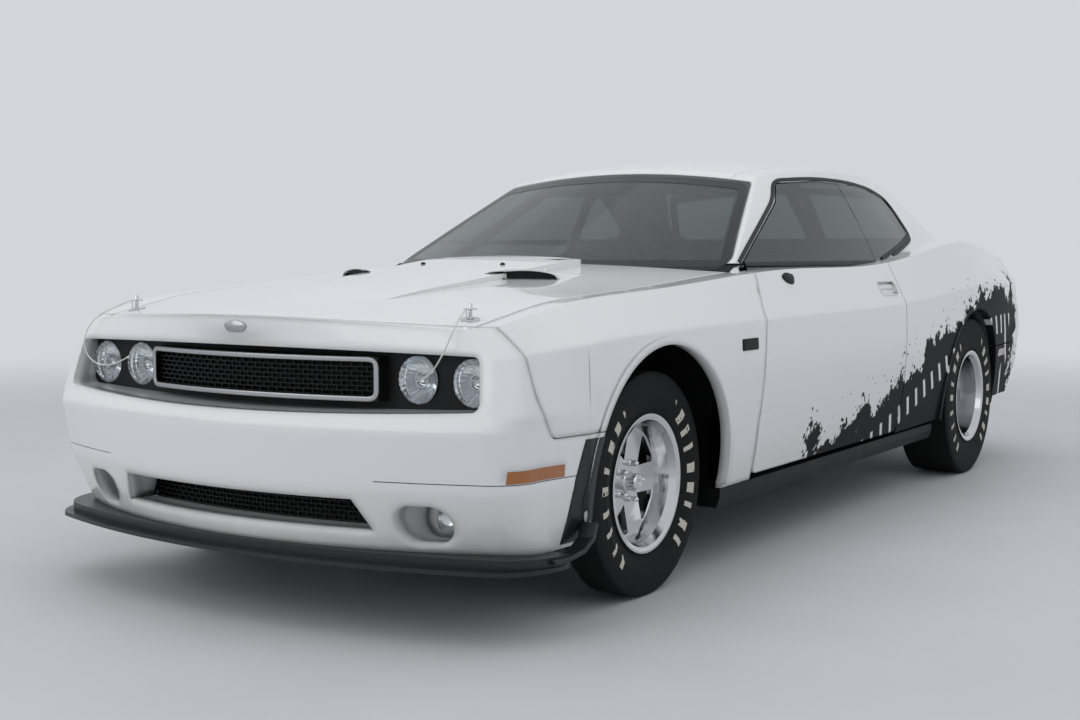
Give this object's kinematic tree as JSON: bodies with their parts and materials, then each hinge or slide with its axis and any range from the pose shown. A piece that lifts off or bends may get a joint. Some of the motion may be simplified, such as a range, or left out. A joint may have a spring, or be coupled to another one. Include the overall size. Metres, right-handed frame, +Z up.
{
  "type": "drag racing coupe",
  "caption": "White two-door drag racing coupe of retro shape with recessed round lamps, chin splitter, thin front wheels, deep rear wheels, opening doors and lids, cage and seats.",
  "frame": {"origin": "on the ground, in the middle of the car's length and width", "axes": "+X towards the nose, +Y to the car's left, +Z up"},
  "size_m": [5.0218, 1.92, 1.4109],
  "materials": {
    "white_paint": "gloss white enamel",
    "black_plastic": "satin black moulded plastic",
    "grey_composite": "satin dark grey composite",
    "clear_lens": "clear lens",
    "red_lens": "deep red lens",
    "tinted_glass": "tinted glass",
    "plated_steel": "plated steel",
    "white_cord": "braided white cord",
    "floor_steel": "satin black paint",
    "black_steel": "black coated steel",
    "cast_metal": "as cast",
    "radiator_metal": "finned core",
    "dash_plastic": "grained plastic",
    "rim_leather": "smooth leather",
    "seat_fabric": "woven black cover",
    "cage_steel": "satin black paint",
    "tyre_rubber": "black rubber",
    "polished_alloy": "polished"
  },
  "bodies": {
    "body": {"front_fascia": "white_paint", "lamp_panel": "black_plastic", "lamps": "clear_lens", "grilles": "black_plastic", "splitter": "grey_composite", "cowl": "black_plastic", "roof": "white_paint", "fixed_glass": "tinted_glass", "rear_deck_panel": "white_paint", "tail_panel": "white_paint", "tail_lamps": "red_lens", "rear_fascia": "white_paint", "sills": "black_plastic", "floor_pan": "floor_steel", "rear_tubs": "floor_steel", "frame_rails": "floor_steel", "hinge_posts": "floor_steel", "front_suspension": "black_steel", "rear_axle": "black_steel", "engine_block": "cast_metal", "drive_line": "cast_metal", "exhaust": "plated_steel", "fuel_cell": "black_plastic", "radiator": "radiator_metal", "dashboard": "dash_plastic", "seats": "seat_fabric", "roll_cage": "cage_steel", "fender_left": "white_paint", "quarter_left": "white_paint", "fender_right": "white_paint", "quarter_right": "white_paint"},
    "hood": {"hood": "white_paint", "hood_pins": "plated_steel", "lanyard_left": "white_cord", "lanyard_right": "white_cord"},
    "decklid": {"decklid": "white_paint"},
    "door_left": {"door_left": "white_paint", "door_glass_left": "tinted_glass"},
    "door_right": {"door_right": "white_paint", "door_glass_right": "tinted_glass"},
    "knuckle_left": {"knuckle_left": "black_steel"},
    "knuckle_right": {"knuckle_right": "black_steel"},
    "steering_wheel": {"steering_wheel": "rim_leather"},
    "wheel_front_left": {"tyre_front_left": "tyre_rubber", "rim_front_left": "polished_alloy"},
    "wheel_rear_left": {"tyre_rear_left": "tyre_rubber", "rim_rear_left": "polished_alloy"},
    "wheel_front_right": {"tyre_front_right": "tyre_rubber", "rim_front_right": "polished_alloy"},
    "wheel_rear_right": {"tyre_rear_right": "tyre_rubber", "rim_rear_right": "polished_alloy"}
  },
  "joints": [
    {"name": "hood_hinge", "type": "hinge", "parent": "body", "child": "hood", "pos_m": [0.85, 0, 0.915], "axis": [0, -1, 0], "range_deg": [0, 48]},
    {"name": "decklid_hinge", "type": "hinge", "parent": "body", "child": "decklid", "pos_m": [-1.88, 0, 1.012], "axis": [0, 1, 0], "range_deg": [0, 60]},
    {"name": "door_left_hinge", "type": "hinge", "parent": "body", "child": "door_left", "pos_m": [0.866, 0.919, 0.62], "axis": [0, 0, -1], "range_deg": [0, 65]},
    {"name": "door_right_hinge", "type": "hinge", "parent": "body", "child": "door_right", "pos_m": [0.866, -0.919, 0.62], "axis": [0, 0, 1], "range_deg": [0, 65]},
    {"name": "steer_left", "type": "hinge", "parent": "body", "child": "knuckle_left", "pos_m": [1.566, 0.707, 0.336], "axis": [0, 0, 1], "range_deg": [-30, 30]},
    {"name": "steer_right", "type": "hinge", "parent": "body", "child": "knuckle_right", "pos_m": [1.566, -0.707, 0.336], "axis": [0, 0, 1], "range_deg": [-30, 30]},
    {"name": "steering_wheel_turn", "type": "hinge", "parent": "body", "child": "steering_wheel", "pos_m": [0.42, 0.37, 0.85], "axis": [-0.9135, 0, 0.4067], "range_deg": [-420, 420]},
    {"name": "front_left_spin", "type": "hinge", "parent": "knuckle_left", "child": "wheel_front_left", "pos_m": [1.566, 0.792, 0.336], "axis": [0, 1, 0], "continuous": true},
    {"name": "front_right_spin", "type": "hinge", "parent": "knuckle_right", "child": "wheel_front_right", "pos_m": [1.566, -0.792, 0.336], "axis": [0, 1, 0], "continuous": true},
    {"name": "rear_left_spin", "type": "hinge", "parent": "body", "child": "wheel_rear_left", "pos_m": [-1.38, 0.812, 0.356], "axis": [0, 1, 0], "continuous": true},
    {"name": "rear_right_spin", "type": "hinge", "parent": "body", "child": "wheel_rear_right", "pos_m": [-1.38, -0.812, 0.356], "axis": [0, 1, 0], "continuous": true}
  ],
  "couplings": [
    {"joint": "steer_right", "follows": "steer_left", "ratio": 1},
    {"joint": "steering_wheel_turn", "follows": "steer_left", "ratio": 14}
  ]
}
